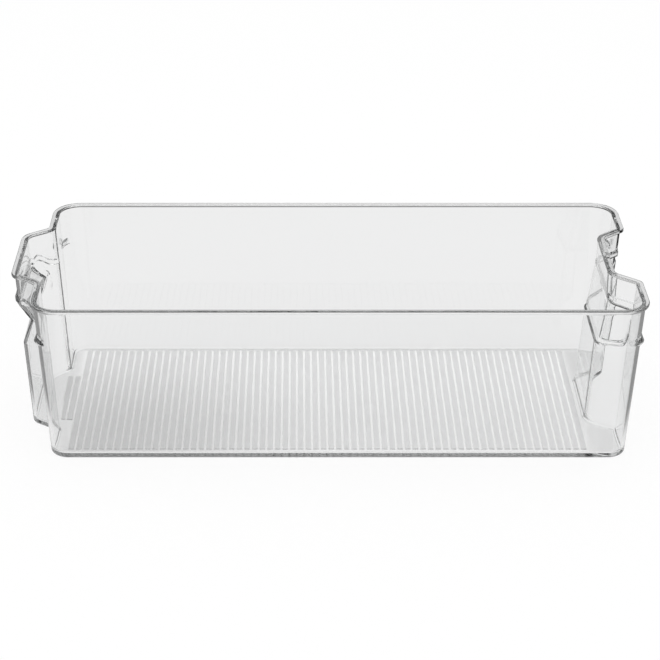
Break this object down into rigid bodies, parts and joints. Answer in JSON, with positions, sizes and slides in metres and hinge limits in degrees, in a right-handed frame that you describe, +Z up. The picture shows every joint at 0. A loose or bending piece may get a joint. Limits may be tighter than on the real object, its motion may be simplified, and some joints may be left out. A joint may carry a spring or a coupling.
{
  "type": "refrigerator storage bin",
  "caption": "Clear open-top bin with leaning walls, rounded corners, a flanged rim and a ribbed floor; one end bulges out into a finger grip, the other is drawn in to a recess.",
  "frame": {"origin": "centre of the whole footprint, grip included, on the plane it stands on", "axes": "+X from the grip end to the recess end, +Y from the front wall to the rear wall, +Z up through the open top"},
  "size_m": [0.37, 0.16, 0.1],
  "materials": {
    "clear_plastic": "clear, polished, colourless"
  },
  "bodies": {
    "root": {"floor_panel": "clear_plastic", "floor_grip_end": "clear_plastic", "floor_recess_front": "clear_plastic", "floor_recess_rear": "clear_plastic", "front_wall": "clear_plastic", "front_left_corner": "clear_plastic", "front_right_corner": "clear_plastic", "rear_wall": "clear_plastic", "rear_left_corner": "clear_plastic", "rear_right_corner": "clear_plastic", "grip_cheek_front": "clear_plastic", "grip_cheek_rear": "clear_plastic", "grip_lower_panel": "clear_plastic", "grip_groove_slope": "clear_plastic", "grip_lip_underside": "clear_plastic", "grip_lip_panel": "clear_plastic", "recess_cheek_front": "clear_plastic", "recess_cheek_rear": "clear_plastic", "recess_lower_panel": "clear_plastic", "recess_hollow_panel": "clear_plastic", "recess_lip_panel": "clear_plastic"}
  },
  "joints": []
}
